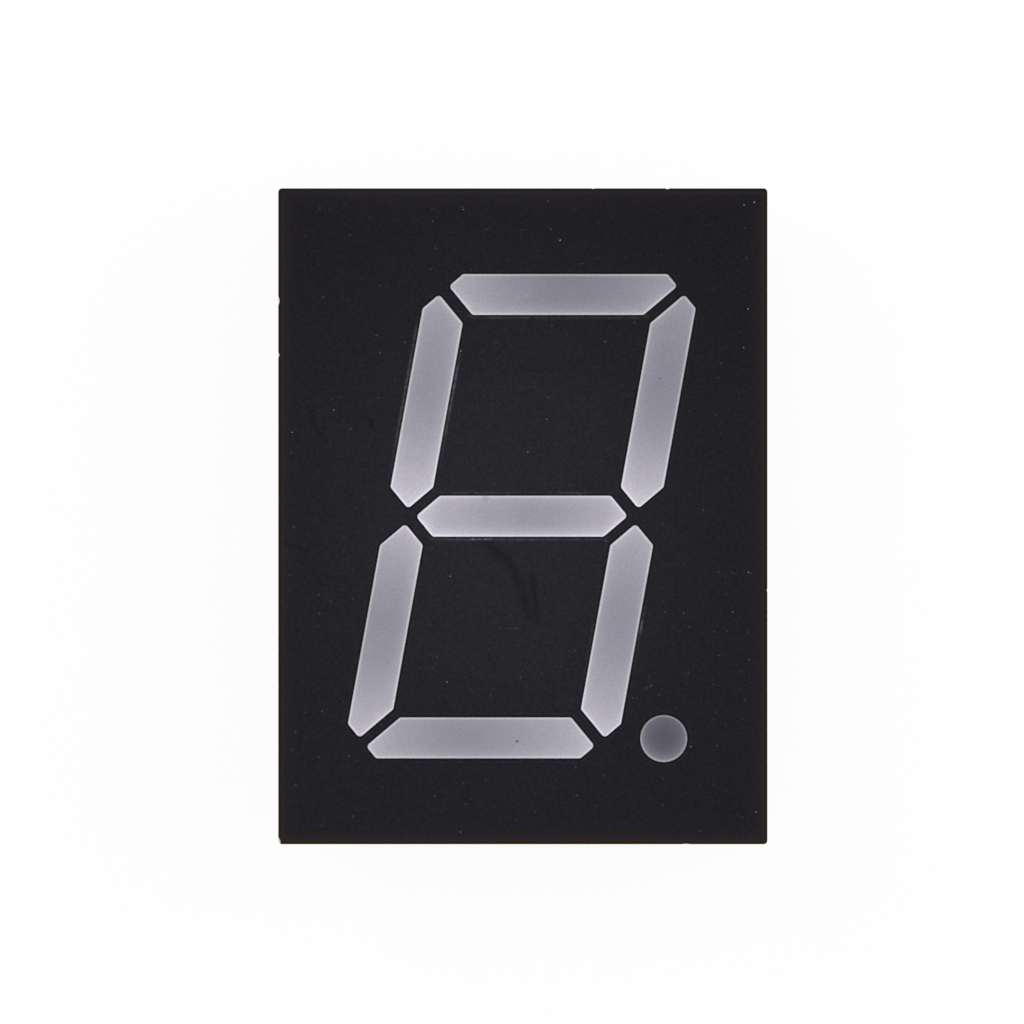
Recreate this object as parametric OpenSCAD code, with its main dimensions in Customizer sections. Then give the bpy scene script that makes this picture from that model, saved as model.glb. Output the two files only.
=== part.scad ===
// Single digit seven segment LED display with a decimal point.
// The display lies on its back: the face looks up (+Z), the digit's top points to +Y and the pins
// point down. The origin is the middle of the rear rim, the plane that seats on a circuit board.

/* [Digit] */
// Height of the lit digit
digit_h = 38; // [25.4:0.1:57]
// Width of the digit before it leans
digit_w = 21.44; // [17:0.01:34]
// Lean of the digit to the right, in degrees
slant = 10.2; // [0:0.1:12]
// Height of the three level bars
bar_h = 3.22; // [2.6:0.01:4.2]
// Width of the four upright bars, measured level
upright_w = 3.37; // [2.6:0.01:4.2]
// Leg of the 45 degree cut across the digit's outer corners
corner_cut = 2.7; // [1.5:0.01:4]
// Gap between a level bar and an upright where they meet at a corner
mitre_gap = 0.9; // [0.5:0.01:1.2]
// Gap between the middle bar and the uprights
waist_gap = 0.92; // [0.6:0.01:1.4]
// Gap between the tips of an upper and a lower upright
tip_gap = 1.17; // [0.9:0.01:2]
// Radius of the bars' corners
bar_r = 0.3; // [0.15:0.05:0.5]
// Sideways place of the digit on the face
digit_x = -0.08; // [-1:0.01:1]
// Upward place of the digit on the face
digit_y = 0.01; // [-1:0.01:1]

/* [Decimal point] */
// Diameter of the decimal point
point_d = 3.71; // [3:0.01:4.5]
// Level gap between the lower right upright and the point
point_gap = 1.7; // [1.5:0.01:2.5]
// How far the point reaches below the digit's base line
point_drop = 0.3; // [0:0.01:0.6]

/* [Housing] */
// Face left and right of the digit, measured at the digit's middle height
margin_x = 8.46; // [7.6:0.01:14]
// Face above and below the digit
margin_y = 6.72; // [6.3:0.01:14]
// Depth from the face to the rear rim
case_d = 10.5; // [9:0.1:16]
// Thickness of the side walls
wall = 1.2; // [0.8:0.05:1.6]
// Thickness of the front plate
plate_t = 1.2; // [0.8:0.05:2]
// Radius of the four upright outer edges
case_r = 0.3; // [0.1:0.05:1]
// Width of the inner step that carries the circuit board
ledge_w = 0.8; // [0.5:0.05:1]

/* [Reflector cells] */
// White land left between the film's window and the mouth of a cell
rim_w = 0.15; // [0.05:0.01:0.25]
// Wall around each cell, at its mouth
cell_wall = 0.8; // [0.6:0.05:0.95]
// How far a cell's long sides lean in on the way down
side_run = 0.6; // [0.3:0.05:0.8]
// Length of a cell's floor on the board, between the feet of its two end ramps
floor_l = 7.8; // [6:0.1:10]
// How far the decimal point's cone closes in on the way down
point_run = 0.5; // [0.2:0.05:0.7]

/* [Face film] */
// Thickness of the black film on the front plate
film_t = 0.1; // [0.05:0.01:0.3]

/* [Circuit board] */
// Thickness of the circuit board
board_t = 1.2; // [0.8:0.1:2]
// Distance from the rear rim to the board's back
board_back = 2.8; // [2.2:0.1:4]
// Clearance between the board's edge and the side walls
board_gap = 0.15; // [0.05:0.05:0.3]

/* [LED dice] */
// Side of a die
die_w = 0.3; // [0.2:0.01:0.36]
// Height of a die
die_h = 0.25; // [0.1:0.01:0.3]
// Distance between the two dice of a bar
die_pitch = 2.4; // [1.6:0.1:2.8]
// Diameter of the bond wires
wire_d = 0.04; // [0.03:0.01:0.06]
// Span of a bond wire, from the die to its pad on the board
wire_span = 0.8; // [0.5:0.05:0.9]

/* [Pins] */
// Pins in each of the two rows
pins_in_row = 5; // [3:1:7]
// Distance between neighbouring pins
pin_pitch = 2.54; // [2:0.01:5.08]
// Diameter of a pin's free end
pin_d = 0.6; // [0.4:0.01:0.9]
// Extra diameter of a pin's shank, which ends at a shoulder on the rear rim's plane
shank_extra = 0.1; // [0.05:0.01:0.2]
// Length of a pin below the rear rim
pin_len = 4.5; // [2.5:0.1:8]
// Length of a pin in front of the board
pin_head = 0.3; // [0.1:0.05:1]
// Chamfer at a pin's tip
pin_chamfer = 0.12; // [0.05:0.01:0.18]
// Distance from a pin row to the end of the housing
row_inset = 2.86; // [2.7:0.01:3.2]

/* [Solder and potting] */
// Radius of the solder pad around a pin
pad_r = 0.95; // [0.7:0.05:1.05]
// Height of a solder joint
solder_h = 0.9; // [0.4:0.05:1.2]
// Depth of the potting's surface below the rear rim
pot_drop = 0.5; // [0.2:0.05:0.8]

/* [Hidden] */
$fn = 48;

BARS = ["a", "b", "c", "d", "e", "f", "g"];
DICE = [0, 1];
PINS = [1:2 * pins_in_row];

// Overall size
case_w = digit_w + 2 * margin_x;
case_h = digit_h + 2 * margin_y;
shank_d = pin_d + shank_extra;

// Levels, up from the rear rim
board_front = board_back + board_t;
plate_front = case_d - film_t;
plate_back = plate_front - plate_t;

// Space inside the side walls, and inside the step
bay_w = case_w - 2 * wall;
bay_h = case_h - 2 * wall;
pocket_w = bay_w - 2 * ledge_w;
pocket_h = bay_h - 2 * ledge_w;

// Chips broken out of the film's border: side, place along it from its middle, length, depth
FILM_CHIPS = [
    ["left", 16.9, 0.75, 0.1],
    ["left", 12.65, 0.4, 0.09],
    ["left", -25.6, 0.9, 0.17],
    ["top", 11.35, 0.4, 0.06],
    ["top", 5.5, 0.3, 0.04],
    ["right", -5.8, 0.3, 0.04],
    ["bottom", 12.8, 0.6, 0.04]
];

// Steps in a rounded corner, and how far a cut runs past the surface it opens
corner_steps = 4;
past = 1;

// ---- Outlines of the bars, counter-clockwise from one tip, with edges 1 and 4 the long ones ----

half_w = digit_w / 2;
half_h = digit_h / 2;
inner_x = half_w - upright_w;
inner_y = half_h - bar_h;
// The corner cut is the line x + y = cut_sum, and a mitre is a line y - x = constant
cut_sum = half_w + half_h - corner_cut;
mitre_above = inner_y - inner_x + mitre_gap / sqrt(2);
mitre_below = inner_y - inner_x - mitre_gap / sqrt(2);
waist_tip = half_w - upright_w / 2 + tip_gap / 2 - waist_gap * sqrt(2);

function turned(pts) = [for (p = pts) -p];
function flipped(pts) = [for (i = [6:-1:1]) [-pts[i % 6].x, pts[i % 6].y]];

top_bar = [
    [cut_sum - mitre_above, cut_sum + mitre_above] / 2,
    [cut_sum - half_h, half_h],
    [half_h - cut_sum, half_h],
    [mitre_above - cut_sum, cut_sum + mitre_above] / 2,
    [mitre_above - inner_y, inner_y],
    [inner_y - mitre_above, inner_y]
];
middle_bar = [
    [waist_tip, 0],
    [waist_tip - bar_h / 2, bar_h / 2],
    [bar_h / 2 - waist_tip, bar_h / 2],
    [-waist_tip, 0],
    [bar_h / 2 - waist_tip, -bar_h / 2],
    [waist_tip - bar_h / 2, -bar_h / 2]
];
upper_right = [
    [cut_sum - mitre_below, cut_sum + mitre_below] / 2,
    [inner_x, inner_x + mitre_below],
    [inner_x, (tip_gap + upright_w) / 2],
    [half_w - upright_w / 2, tip_gap / 2],
    [half_w, (tip_gap + upright_w) / 2],
    [half_w, cut_sum - half_w]
];

// A bar's corners before the digit leans, and where they are on the face
function upright(s) =
    s == "a" ? top_bar :
    s == "b" ? upper_right :
    s == "c" ? turned(flipped(upper_right)) :
    s == "d" ? turned(top_bar) :
    s == "e" ? turned(upper_right) :
    s == "f" ? flipped(upper_right) :
    middle_bar;
function leaned(pts) = [for (p = pts) [digit_x + p.x + p.y * tan(slant), digit_y + p.y]];
function bar(s) = leaned(upright(s));

function along(pts, i) = let (d = pts[(i + 1) % 6] - pts[i % 6]) d / norm(d);
// Each edge moved inwards by d
function inset(pts, d) = [
    for (i = [0:5])
        let (u = along(pts, i + 5), v = along(pts, i))
        pts[i] + d * (v - u) / cross(u, v)
];
// Each corner as an arc of radius r
function rounded(pts, r) = [
    for (i = [0:5])
        let (u = along(pts, i + 5), v = along(pts, i))
        let (centre = pts[i] + r * (v - u) / cross(u, v))
        for (k = [0:corner_steps])
            let (a = atan2(-u.x, u.y) + acos(u * v) * k / corner_steps)
            centre + r * [cos(a), sin(a)]
];

// A shorter, narrower bar in the middle of another, with every edge parallel to its own
function shrunk(pts) = let (
    d = along(pts, 4),
    n = [-d.y, d.x],
    c = (pts[1] + pts[2] + pts[4] + pts[5]) / 4,
    w = (pts[1] - pts[5]) * n / 2 - rim_w - side_run,
    tip = floor_l / 2,
    flat = tip - w
) [for (q = [[tip, 0], [flat, w], [-flat, w], [-tip, 0], [-flat, -w], [flat, -w]]) c + q.x * d + q.y * n];

function window(s) = rounded(bar(s), bar_r);
function mouth(s) = rounded(inset(bar(s), rim_w), bar_r);
function jacket(s) = rounded(inset(bar(s), rim_w - cell_wall), bar_r);
function cell_floor(s) = rounded(leaned(shrunk(upright(s))), bar_r);

// A bar's middle on the board, and the way its dice are lined up
function middle(s) = let (p = bar(s)) (p[1] + p[2] + p[4] + p[5]) / 4;
function heading(s) = let (d = along(bar(s), 4)) atan2(d.y, d.x);

// The decimal point sits beside the lower right upright's leaning side
point_y = digit_y - half_h - point_drop + point_d / 2;
point_x = digit_x + half_w + (point_y - digit_y) * tan(slant) + point_gap + point_d / 2;

// ---- Building blocks ----

module rounded_rectangle(w, h, r) {
    square([w - 2 * r, h], center = true);
    square([w, h - 2 * r], center = true);
    for (x = [r - w / 2, w / 2 - r], y = [r - h / 2, h / 2 - r])
        translate([x, y]) circle(r);
}

// A solid through rings of equally many points, each at its own level
module lofted(rings, levels) {
    n = len(rings[0]);
    top = len(rings) - 1;
    polyhedron(
        points = [for (j = [0:top], p = rings[j]) [p.x, p.y, levels[j]]],
        faces = concat(
            [[for (i = [0:n - 1]) i]],
            [
                for (j = [0:top - 1], i = [0:n - 1])
                    let (k = (i + 1) % n)
                    [j * n + i, (j + 1) * n + i, (j + 1) * n + k, j * n + k]
            ],
            [[for (i = [n - 1:-1:0]) top * n + i]]
        )
    );
}

module at_point(z) {
    translate([point_x, point_y, z]) children();
}

module at_die(s, k) {
    translate(concat(middle(s), board_front))
        rotate(heading(s) + 180 * k)
            translate([die_pitch / 2, 0, 0])
                children();
}

module at_pins(numbers) {
    for (n = numbers) translate(pin_place(n)) children();
}

// Pins count from the lower left, anticlockwise as seen from the front
function pin_place(n) = let (
    upper = n > pins_in_row,
    step = (upper ? 2 * pins_in_row - n : n - 1) - (pins_in_row - 1) / 2
) [step * pin_pitch, (upper ? 1 : -1) * (case_h / 2 - row_inset), 0];

// ---- Housing and film ----

module cell(s) {
    lofted(
        [cell_floor(s), cell_floor(s), mouth(s), mouth(s)],
        [board_front - past, board_front, plate_front, plate_front + past]
    );
}

point_mouth_r = point_d / 2 - rim_w;
point_floor_r = point_mouth_r - point_run;

// The decimal point's cone, run straight on by some length at both ends
module point_cone(run_on) {
    at_point(0)
        rotate_extrude()
            polygon([
                [0, board_front - run_on],
                [point_floor_r, board_front - run_on],
                [point_floor_r, board_front],
                [point_mouth_r, plate_front],
                [point_mouth_r, plate_front + run_on],
                [0, plate_front + run_on]
            ]);
}

module housing() {
    color("white")
    difference() {
        linear_extrude(plate_front) rounded_rectangle(case_w, case_h, case_r);
        // Bay for the board and the potting
        translate([0, 0, -past])
            linear_extrude(board_front + past) square([bay_w, bay_h], center = true);
        // Hollow between the cells, in front of the board
        translate([0, 0, board_front - past])
            linear_extrude(plate_back - board_front + past)
                difference() {
                    square([pocket_w, pocket_h], center = true);
                    for (s = BARS) polygon(jacket(s));
                    at_point(0) circle(point_mouth_r + cell_wall);
                }
        for (s = BARS) cell(s);
        point_cone(past);
    }
}

module film_chip(side, place, length, depth) {
    turn = side == "right" ? 0 : side == "top" ? 90 : side == "left" ? 180 : 270;
    reach = (turn % 180 == 0 ? case_w : case_h) / 2;
    across = turn == 0 || turn == 270 ? place : -place;
    rotate(turn)
        translate([reach, across])
            polygon([
                [past, -length / 2],
                [past, length / 2],
                [0, length / 2],
                [-depth, length / 6],
                [-depth, -length / 6],
                [0, -length / 2]
            ]);
}

module face_film() {
    color("#212024")
    translate([0, 0, plate_front])
        linear_extrude(film_t)
            difference() {
                rounded_rectangle(case_w, case_h, case_r);
                for (s = BARS) polygon(window(s));
                at_point(0) circle(point_d / 2);
                for (c = FILM_CHIPS) film_chip(c[0], c[1], c[2], c[3]);
            }
}

// ---- Diffuser epoxy, cast round the dice ----

module segment(s) {
    color("#a3a1b0")
    difference() {
        lofted([cell_floor(s), mouth(s)], [board_front, plate_front]);
        for (k = DICE) {
            die(s, k);
            bond_wire(s, k);
        }
    }
}

module decimal_point() {
    color("#66666e")
    difference() {
        point_cone(0);
        die_point();
        bond_wire_point();
    }
}

// ---- Circuit board, dice and wires ----

module circuit_board() {
    color("#3f7a4a")
    translate([0, 0, board_back])
        linear_extrude(board_t)
            difference() {
                square([bay_w - 2 * board_gap, bay_h - 2 * board_gap], center = true);
                at_pins(PINS) circle(d = shank_d);
            }
}

module die_block() {
    color("#c8b25a")
        translate([-die_w / 2, -die_w / 2, 0])
            cube([die_w, die_w, die_h]);
}

// Loops up from the die's top and comes down on the board, wire_span further out
module wire_loop() {
    color("gold") {
        translate([wire_span / 2, 0, die_h])
            rotate([90, 0, 0])
                rotate_extrude(angle = 180) translate([wire_span / 2, 0]) circle(d = wire_d);
        translate([wire_span, 0, 0]) cylinder(h = die_h, d = wire_d);
    }
}

module die(s, k) {
    at_die(s, k) die_block();
}

module bond_wire(s, k) {
    at_die(s, k) wire_loop();
}

module die_point() {
    at_point(board_front) die_block();
}

module bond_wire_point() {
    at_point(board_front) wire_loop();
}

// ---- Pins, solder and potting ----

module pin_shape() {
    rotate_extrude()
        polygon([
            [0, -pin_len],
            [pin_d / 2 - pin_chamfer, -pin_len],
            [pin_d / 2, pin_chamfer - pin_len],
            [pin_d / 2, 0],
            [shank_d / 2, 0],
            [shank_d / 2, board_front + pin_head],
            [0, board_front + pin_head]
        ]);
}

module pin(n) {
    color("#c9ccd0") at_pins([n]) pin_shape();
}

// A cone with a hollow flank, from the pad up the pin
module solder_shape() {
    flank_steps = 4;
    rotate_extrude()
        polygon(concat(
            [[shank_d / 2, board_back]],
            [
                for (k = [0:flank_steps])
                    let (t = k / flank_steps)
                    [shank_d / 2 + (pad_r - shank_d / 2) * (1 - t) * (1 - t), board_back - solder_h * t]
            ]
        ));
}

module solder_joints() {
    color("#aab0b5") at_pins(PINS) solder_shape();
}

module potting() {
    color("#7f9a80")
    difference() {
        translate([0, 0, pot_drop])
            linear_extrude(board_back - pot_drop) square([bay_w, bay_h], center = true);
        at_pins(PINS) {
            pin_shape();
            solder_shape();
        }
    }
}

housing();
face_film();
for (s = BARS) segment(s);
decimal_point();
circuit_board();
for (s = BARS, k = DICE) die(s, k);
for (s = BARS, k = DICE) bond_wire(s, k);
die_point();
bond_wire_point();
for (n = PINS) pin(n);
solder_joints();
potting();
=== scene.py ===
"""Finish of a single digit seven segment display, built round its packed frame.

Everything is in metres in the frame's own axes: the face looks up (+Z), the digit's top points
to +Y, and the pins point down.
"""

import math

import bmesh
import bpy
import numpy as np
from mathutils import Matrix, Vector, geometry


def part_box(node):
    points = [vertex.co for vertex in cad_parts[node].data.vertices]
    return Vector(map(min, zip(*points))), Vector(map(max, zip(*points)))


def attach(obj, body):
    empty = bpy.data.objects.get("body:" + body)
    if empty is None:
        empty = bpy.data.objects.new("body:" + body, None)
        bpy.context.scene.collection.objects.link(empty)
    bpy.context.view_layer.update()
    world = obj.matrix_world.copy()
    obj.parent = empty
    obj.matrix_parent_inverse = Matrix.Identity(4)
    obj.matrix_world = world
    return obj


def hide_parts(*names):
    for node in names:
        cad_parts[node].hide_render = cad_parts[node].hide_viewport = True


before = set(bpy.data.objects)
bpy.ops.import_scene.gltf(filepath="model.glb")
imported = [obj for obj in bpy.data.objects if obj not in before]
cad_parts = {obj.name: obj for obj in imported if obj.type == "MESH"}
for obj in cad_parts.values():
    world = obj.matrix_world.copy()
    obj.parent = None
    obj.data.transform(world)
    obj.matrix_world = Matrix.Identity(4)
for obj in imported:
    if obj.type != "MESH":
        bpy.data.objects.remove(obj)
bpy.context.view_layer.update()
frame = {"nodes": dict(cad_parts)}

bl_info = {
    "name": "Seven segment display finish",
    "version": (1, 0, 0),
    "blender": (4, 5, 0),
    "location": "View3D > Sidebar > Display",
    "description": "Builds the finish of a single digit display round its frame",
    "category": "Object",
}

MM = 0.001
PER_MM = 1 / MM
BODY = "root"
BARS = "abcdefg"
# How near two points or two levels have to be to count as the same, and a corner to count as close
SAME_POINT = 0.001 * MM
SAME_LEVEL = 0.01 * MM
NEAR = 0.5 * MM

# Levels and places that the frame gives
FILM_LOW, FILM_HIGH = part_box("face_film")
BOARD_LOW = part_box("circuit_board")[0]
POTTING_LOW, POTTING_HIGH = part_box("potting")
HOUSING_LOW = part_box("housing")[0]
PINS = sorted((name for name in frame["nodes"] if name.startswith("pin_")), key=lambda n: int(n[4:]))
PIN_PLACES = [(sum(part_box(name), Vector()) / 2).xy for name in PINS]
PIN_TIP = min(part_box(name)[0].z for name in PINS)
SHANK_R = (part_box(PINS[0])[1].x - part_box(PINS[0])[0].x) / 2
FACE_W = FILM_HIGH.x - FILM_LOW.x
FACE_H = FILM_HIGH.y - FILM_LOW.y


# ---- Settings ----

def length(name, default, description):
    """A size in metres."""
    return bpy.props.FloatProperty(
        name=name, description=description, default=default, unit="LENGTH", subtype="DISTANCE", precision=5
    )


def colour(name, default, description, most=1):
    """A colour in linear red, green and blue, or with most above 1 the factors of a tint."""
    return bpy.props.FloatVectorProperty(
        name=name, description=description, default=default, subtype="COLOR", size=3, min=0, max=most
    )


def share(name, default, description):
    """A share from 0 to 1."""
    return bpy.props.FloatProperty(
        name=name, description=description, default=default, subtype="FACTOR", min=0, max=1
    )


class StageSettings(bpy.types.PropertyGroup):
    """Floor, light and camera"""
    lens: bpy.props.FloatProperty(
        name="Lens", description="Focal length on a 36 mm frame", default=100, unit="CAMERA"
    )
    camera_height: length("Camera height", 223.1 * MM, "From the face up to the camera")
    camera_x: length("Camera x", -0.849 * MM, "Sideways place of the camera over the face")
    camera_y: length("Camera y", 0.336 * MM, "Upward place of the camera over the face")
    floor_size: length("Floor", 6, "Side of the floor")
    room_light: share("Room light", 0.62, "Light that comes evenly from all round")
    lamp_power: bpy.props.FloatProperty(
        name="Lamp power", description="Power of each soft lamp", default=1.5, unit="POWER", subtype="POWER"
    )
    lamp_size: length("Lamp size", 0.5, "Side of each soft lamp")
    shadow: share("Shadow", 0.09, "How much of the floor's white comes from the lamps and takes a shadow")


class HousingSettings(bpy.types.PropertyGroup):
    """The white moulding"""
    colour: colour("Colour", (0.815, 0.815, 0.815), "The moulding's white")
    edge: length("Edge", 0.1 * MM, "Bevel on the edges of the moulding's rear rim")


class FilmSettings(bpy.types.PropertyGroup):
    """The black film on the face"""
    colour: colour("Colour", (0.0094, 0.0081, 0.0112), "The film where it is blackest")
    # The next colour is a painted sheen of the lamps, where the film is greyest: in the middle and low to the
    # left
    painted_sheen: colour("Haze", (0.0186, 0.0172, 0.0226), "The film where handling has left it greyest")
    fringe: colour("Fringe", (0.0280, 0.0112, 0.0), "Brown edge where the film was cut, at the bottom")
    upper_fringe: colour("Upper fringe", (0.0136, 0.0092, 0.0076), "The same edge at the top and right")
    fringe_w: length("Fringe width", 0.30 * MM, "Width of the brown edge")
    # The next colour is a painted highlight on the raised line that the cut left inside the film's edge
    ridge_highlight: colour("Ridge", (0.0224, 0.0180, 0.0182), "The lighter line that the cut left inside its edge")
    ridge_w: length("Ridge place", 0.27 * MM, "How far inside the edge that lighter line lies")
    rubbed: colour("Rubbed border", (0.0208, 0.0178, 0.0200), "The greyer border inside the brown edge")
    rubbed_w: length("Rubbed width", 0.6 * MM, "How far in the rubbed grey has faded to a third")
    # The next colour is the dust's, and also that of the painted highlight where the film's lip catches the
    # light
    dust: colour("Dust", (0.42, 0.40, 0.43), "Pale dust on the film")
    roll: length("Roll", 0.2 * MM, "From a window's edge out to where the film's lip catches the light")


class DiffuserSettings(bpy.types.PropertyGroup):
    """The milky epoxy in the bars and the point"""
    deep: colour("Deep tint", (0.998, 0.965, 1.190), "Tint over the dice, a factor on the tone", 2)
    shallow: colour("Shallow tint", (1.036, 0.988, 1.115), "Tint over the end ramps, a factor on the tone", 2)
    point: colour("Point tint", (1.020, 0.968, 1.300), "Tint over the point's die, a factor on the tone", 2)
    rim: colour("Rim tint", (1.008, 0.995, 1.060), "Tint of the bright edge line, a factor on the tone", 2)
    step: length("Step", 0.2 * MM, "Distance between points along an outline")
    proud: length("Edge level", 0.06 * MM, "How far the epoxy's edge stands over the white land")
    dip: length("Dip", 0.035 * MM, "How far the epoxy sinks away from its edge")


class BoardSettings(bpy.types.PropertyGroup):
    """The circuit board and its copper"""
    mask: colour("Mask", (0.025, 0.190, 0.072), "Green lacquer over the laminate")
    copper_h: length("Copper", 0.035 * MM, "Thickness of the copper")
    track_w: length("Track width", 0.5 * MM, "Width of a track")
    pad_r: length("Pad radius", 1.1 * MM, "Radius of a pin's pad")
    via_r: length("Via radius", 0.45 * MM, "Radius of the pad at a track's far end")


class PottingSettings(bpy.types.PropertyGroup):
    """The epoxy poured over the board's back"""
    colour: colour("Colour", (0.62, 0.63, 0.52), "The epoxy's milky body")
    cover: share("Cover", 0.24, "How much each of the epoxy's two surfaces hides of what lies under it")
    climb: length("Climb", 0.28 * MM, "How far the epoxy climbs at the walls and the pins")
    reach: length("Reach", 0.45 * MM, "How far from a wall or a pin the climb dies away")


class MetalSettings(bpy.types.PropertyGroup):
    """Pins, solder, dice and bond wires"""
    tin: colour("Tin", (0.66, 0.66, 0.68), "Tinned pins")
    solder: colour("Solder", (0.60, 0.61, 0.63), "Solder joints")
    gold: colour("Gold", (0.93, 0.66, 0.24), "Bond wires")
    die: colour("Die", (0.32, 0.20, 0.06), "Body of a die")


SETTINGS = {
    "display_stage": StageSettings,
    "display_housing": HousingSettings,
    "display_film": FilmSettings,
    "display_diffuser": DiffuserSettings,
    "display_board": BoardSettings,
    "display_potting": PottingSettings,
    "display_metal": MetalSettings,
}


# ---- Outlines and meshes ----

def plan_ring(node, level, near=None):
    """A frame piece's corners at one level as an outline, counter-clockwise.

    near keeps only the corners that lie close to another outline's corners.
    """
    corners = np.array([v.co for v in frame["nodes"][node].data.vertices])
    plan = corners[abs(corners[:, 2] - level) < SAME_LEVEL][:, :2]
    plan = np.unique(np.round(plan, 7), axis=0)
    if near is not None:
        plan = plan[place_distance(plan, near) < NEAR]
    order = geometry.convex_hull_2d([Vector(p) for p in plan])
    ring = plan[order]
    following = np.roll(ring, -1, axis=0)
    area = np.sum(ring[:, 0] * following[:, 1] - following[:, 0] * ring[:, 1])
    return ring if area > 0 else ring[::-1]


def flat_outlines(node, level):
    """The outlines of a frame piece's flat top at one level: its border, then its openings.

    The border runs counter-clockwise and the openings clockwise.
    """
    solid = bmesh.new()
    solid.from_mesh(frame["nodes"][node].data)
    bmesh.ops.remove_doubles(solid, verts=solid.verts, dist=SAME_POINT)
    solid.faces.index_update()
    top = [f for f in solid.faces if all(abs(v.co.z - level) < SAME_LEVEL for v in f.verts)]
    numbers = {f.index for f in top}
    following = {}
    for face in top:
        for corner in face.loops:
            if corner.link_loop_radial_next.face.index not in numbers:
                following[corner.vert] = corner.link_loop_next.vert
    rings = []
    while following:
        vert = next(iter(following))
        ring = []
        while vert in following:
            ring.append(tuple(vert.co.xy))
            vert = following.pop(vert)
        rings.append(np.array(ring))
    solid.free()
    return sorted(rings, key=lambda ring: -np.ptp(ring, axis=0).prod())


def bar_axes(window):
    """Unit vectors along a bar, to the right or down, and across it, up or to the right."""
    sides = np.roll(window, -1, axis=0) - window
    along = sides[np.argmax(np.linalg.norm(sides, axis=1))]
    along = along / np.linalg.norm(along)
    if (along[0] if abs(along[0]) > abs(along[1]) else -along[1]) < 0:
        along = -along
    return along, np.array([-along[1], along[0]])


def started(ring, direction):
    """The same outline, starting at its corner furthest in a direction."""
    return np.roll(ring, -int(np.argmax(ring @ direction)), axis=0)


def divided(rings, step):
    """Rings with as many corners as each other, cut alike so the first one's sides are at most step."""
    first = rings[0]
    cut = [[] for _ in rings]
    for i in range(len(first)):
        j = (i + 1) % len(first)
        parts = max(1, math.ceil(np.linalg.norm(first[j] - first[i]) / step))
        for k in range(parts):
            for ring, new in zip(rings, cut):
                new.append(ring[i] + (ring[j] - ring[i]) * k / parts)
    return [np.array(new) for new in cut]


def circle(centre, radius, count, turn=0.0):
    """An outline of equally spaced points round a centre."""
    angles = turn + np.arange(count) * 2 * math.pi / count
    return np.array(centre) + radius * np.stack([np.cos(angles), np.sin(angles)], axis=1)


def inward(ring):
    """The unit vector into a counter-clockwise outline at each of its points."""
    tangent = np.roll(ring, -1, axis=0) - np.roll(ring, 1, axis=0)
    normal = np.stack([-tangent[:, 1], tangent[:, 0]], axis=1)
    return normal / np.linalg.norm(normal, axis=1, keepdims=True)


def place_distance(points, places):
    """How far each point lies from the nearest of some places."""
    return np.linalg.norm(points[:, None] - places[None], axis=2).min(axis=1)


def edge_distance(points, ring):
    """How far each point lies from an outline."""
    side = np.roll(ring, -1, axis=0) - ring
    from_corner = points[:, None] - ring[None]
    along = np.clip((from_corner * side).sum(2) / (side * side).sum(1), 0, 1)
    return np.linalg.norm(from_corner - along[..., None] * side, axis=2).min(axis=1)


def filled(points, loops):
    """Triangles over points, bounded by a loop of their numbers, with any convex inner loops left open."""
    edges = [(loop[i - 1], loop[i]) for loop in loops for i in range(len(loop))]
    scaled = [Vector(p) * PER_MM for p in points]
    result = geometry.delaunay_2d_cdt(scaled, edges, [], 1, 1e-6)
    if len(result[0]) != len(points):
        raise RuntimeError("two points of an outline lie on each other")
    source = [ids[0] for ids in result[3]]
    faces = [[source[i] for i in face] for face in result[2]]
    openings = [set(loop) for loop in loops[1:]]
    return [face for face in faces if not any(opening.issuperset(face) for opening in openings)]


def looped(rings):
    """The numbers of outlines' points in a row: the border's loop, then its openings' turned round."""
    ends = np.cumsum([len(ring) for ring in rings])
    border, *openings = [list(range(end - len(ring), end)) for ring, end in zip(rings, ends)]
    return [border] + [loop[::-1] for loop in openings]


def oblong(low, high):
    """The corners of a rectangle, counter-clockwise."""
    return np.array([low, (high[0], low[1]), high, (low[0], high[1])])


def carry(mesh, numbers):
    """Stores named numbers on a mesh, one for each of its points."""
    for key, values in numbers.items():
        mesh.attributes.new(key, "FLOAT", "POINT").data.foreach_set("value", np.asarray(values, np.float32))


def shown(name, data):
    """A new object in the scene."""
    thing = bpy.data.objects.new(name, data)
    bpy.context.scene.collection.objects.link(thing)
    return thing


def crisp(mesh):
    """Makes edges sharp where two faces meet at more than 35 degrees."""
    mesh.set_sharp_from_angle(angle=math.radians(35))


class Shell:
    """Points and faces of a piece, gathered ring by ring."""

    def __init__(self):
        self.points = []
        self.faces = []

    def ring(self, plan, level):
        """Adds the points of a plan at a level, or at a level each, and gives their numbers."""
        first = len(self.points)
        self.points += np.column_stack([plan, np.broadcast_to(level, len(plan))]).tolist()
        return list(range(first, len(self.points)))

    def band(self, lower, upper):
        """Joins two closed rings by quads that face out when the rings run counter-clockwise."""
        count = len(lower)
        for i in range(count):
            j = (i + 1) % count
            self.faces.append([lower[i], lower[j], upper[j], upper[i]])

    def made(self, name, **numbers):
        """The smooth object. Its mesh carries numbers for its first points, and 0 for the others."""
        mesh = bpy.data.meshes.new(name)
        mesh.from_pydata(self.points, [], self.faces)
        mesh.validate()
        count = len(self.points)
        carry(mesh, {key: np.pad(values, (0, count - len(values))) for key, values in numbers.items()})
        mesh.polygons.foreach_set("use_smooth", [True] * len(mesh.polygons))
        crisp(mesh)
        return shown(name, mesh)


def finished(piece, material, slot, *replaced):
    """Gives a piece its material and its place on the body. slot is not used."""
    piece.data.materials.clear()
    piece.data.materials.append(material)
    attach(piece, BODY)
    if replaced:
        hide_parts(*replaced)


def repaint(names, material):
    """Gives frame pieces a material in all their slots."""
    for name in names:
        for slot in frame["nodes"][name].material_slots:
            slot.material = material


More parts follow.
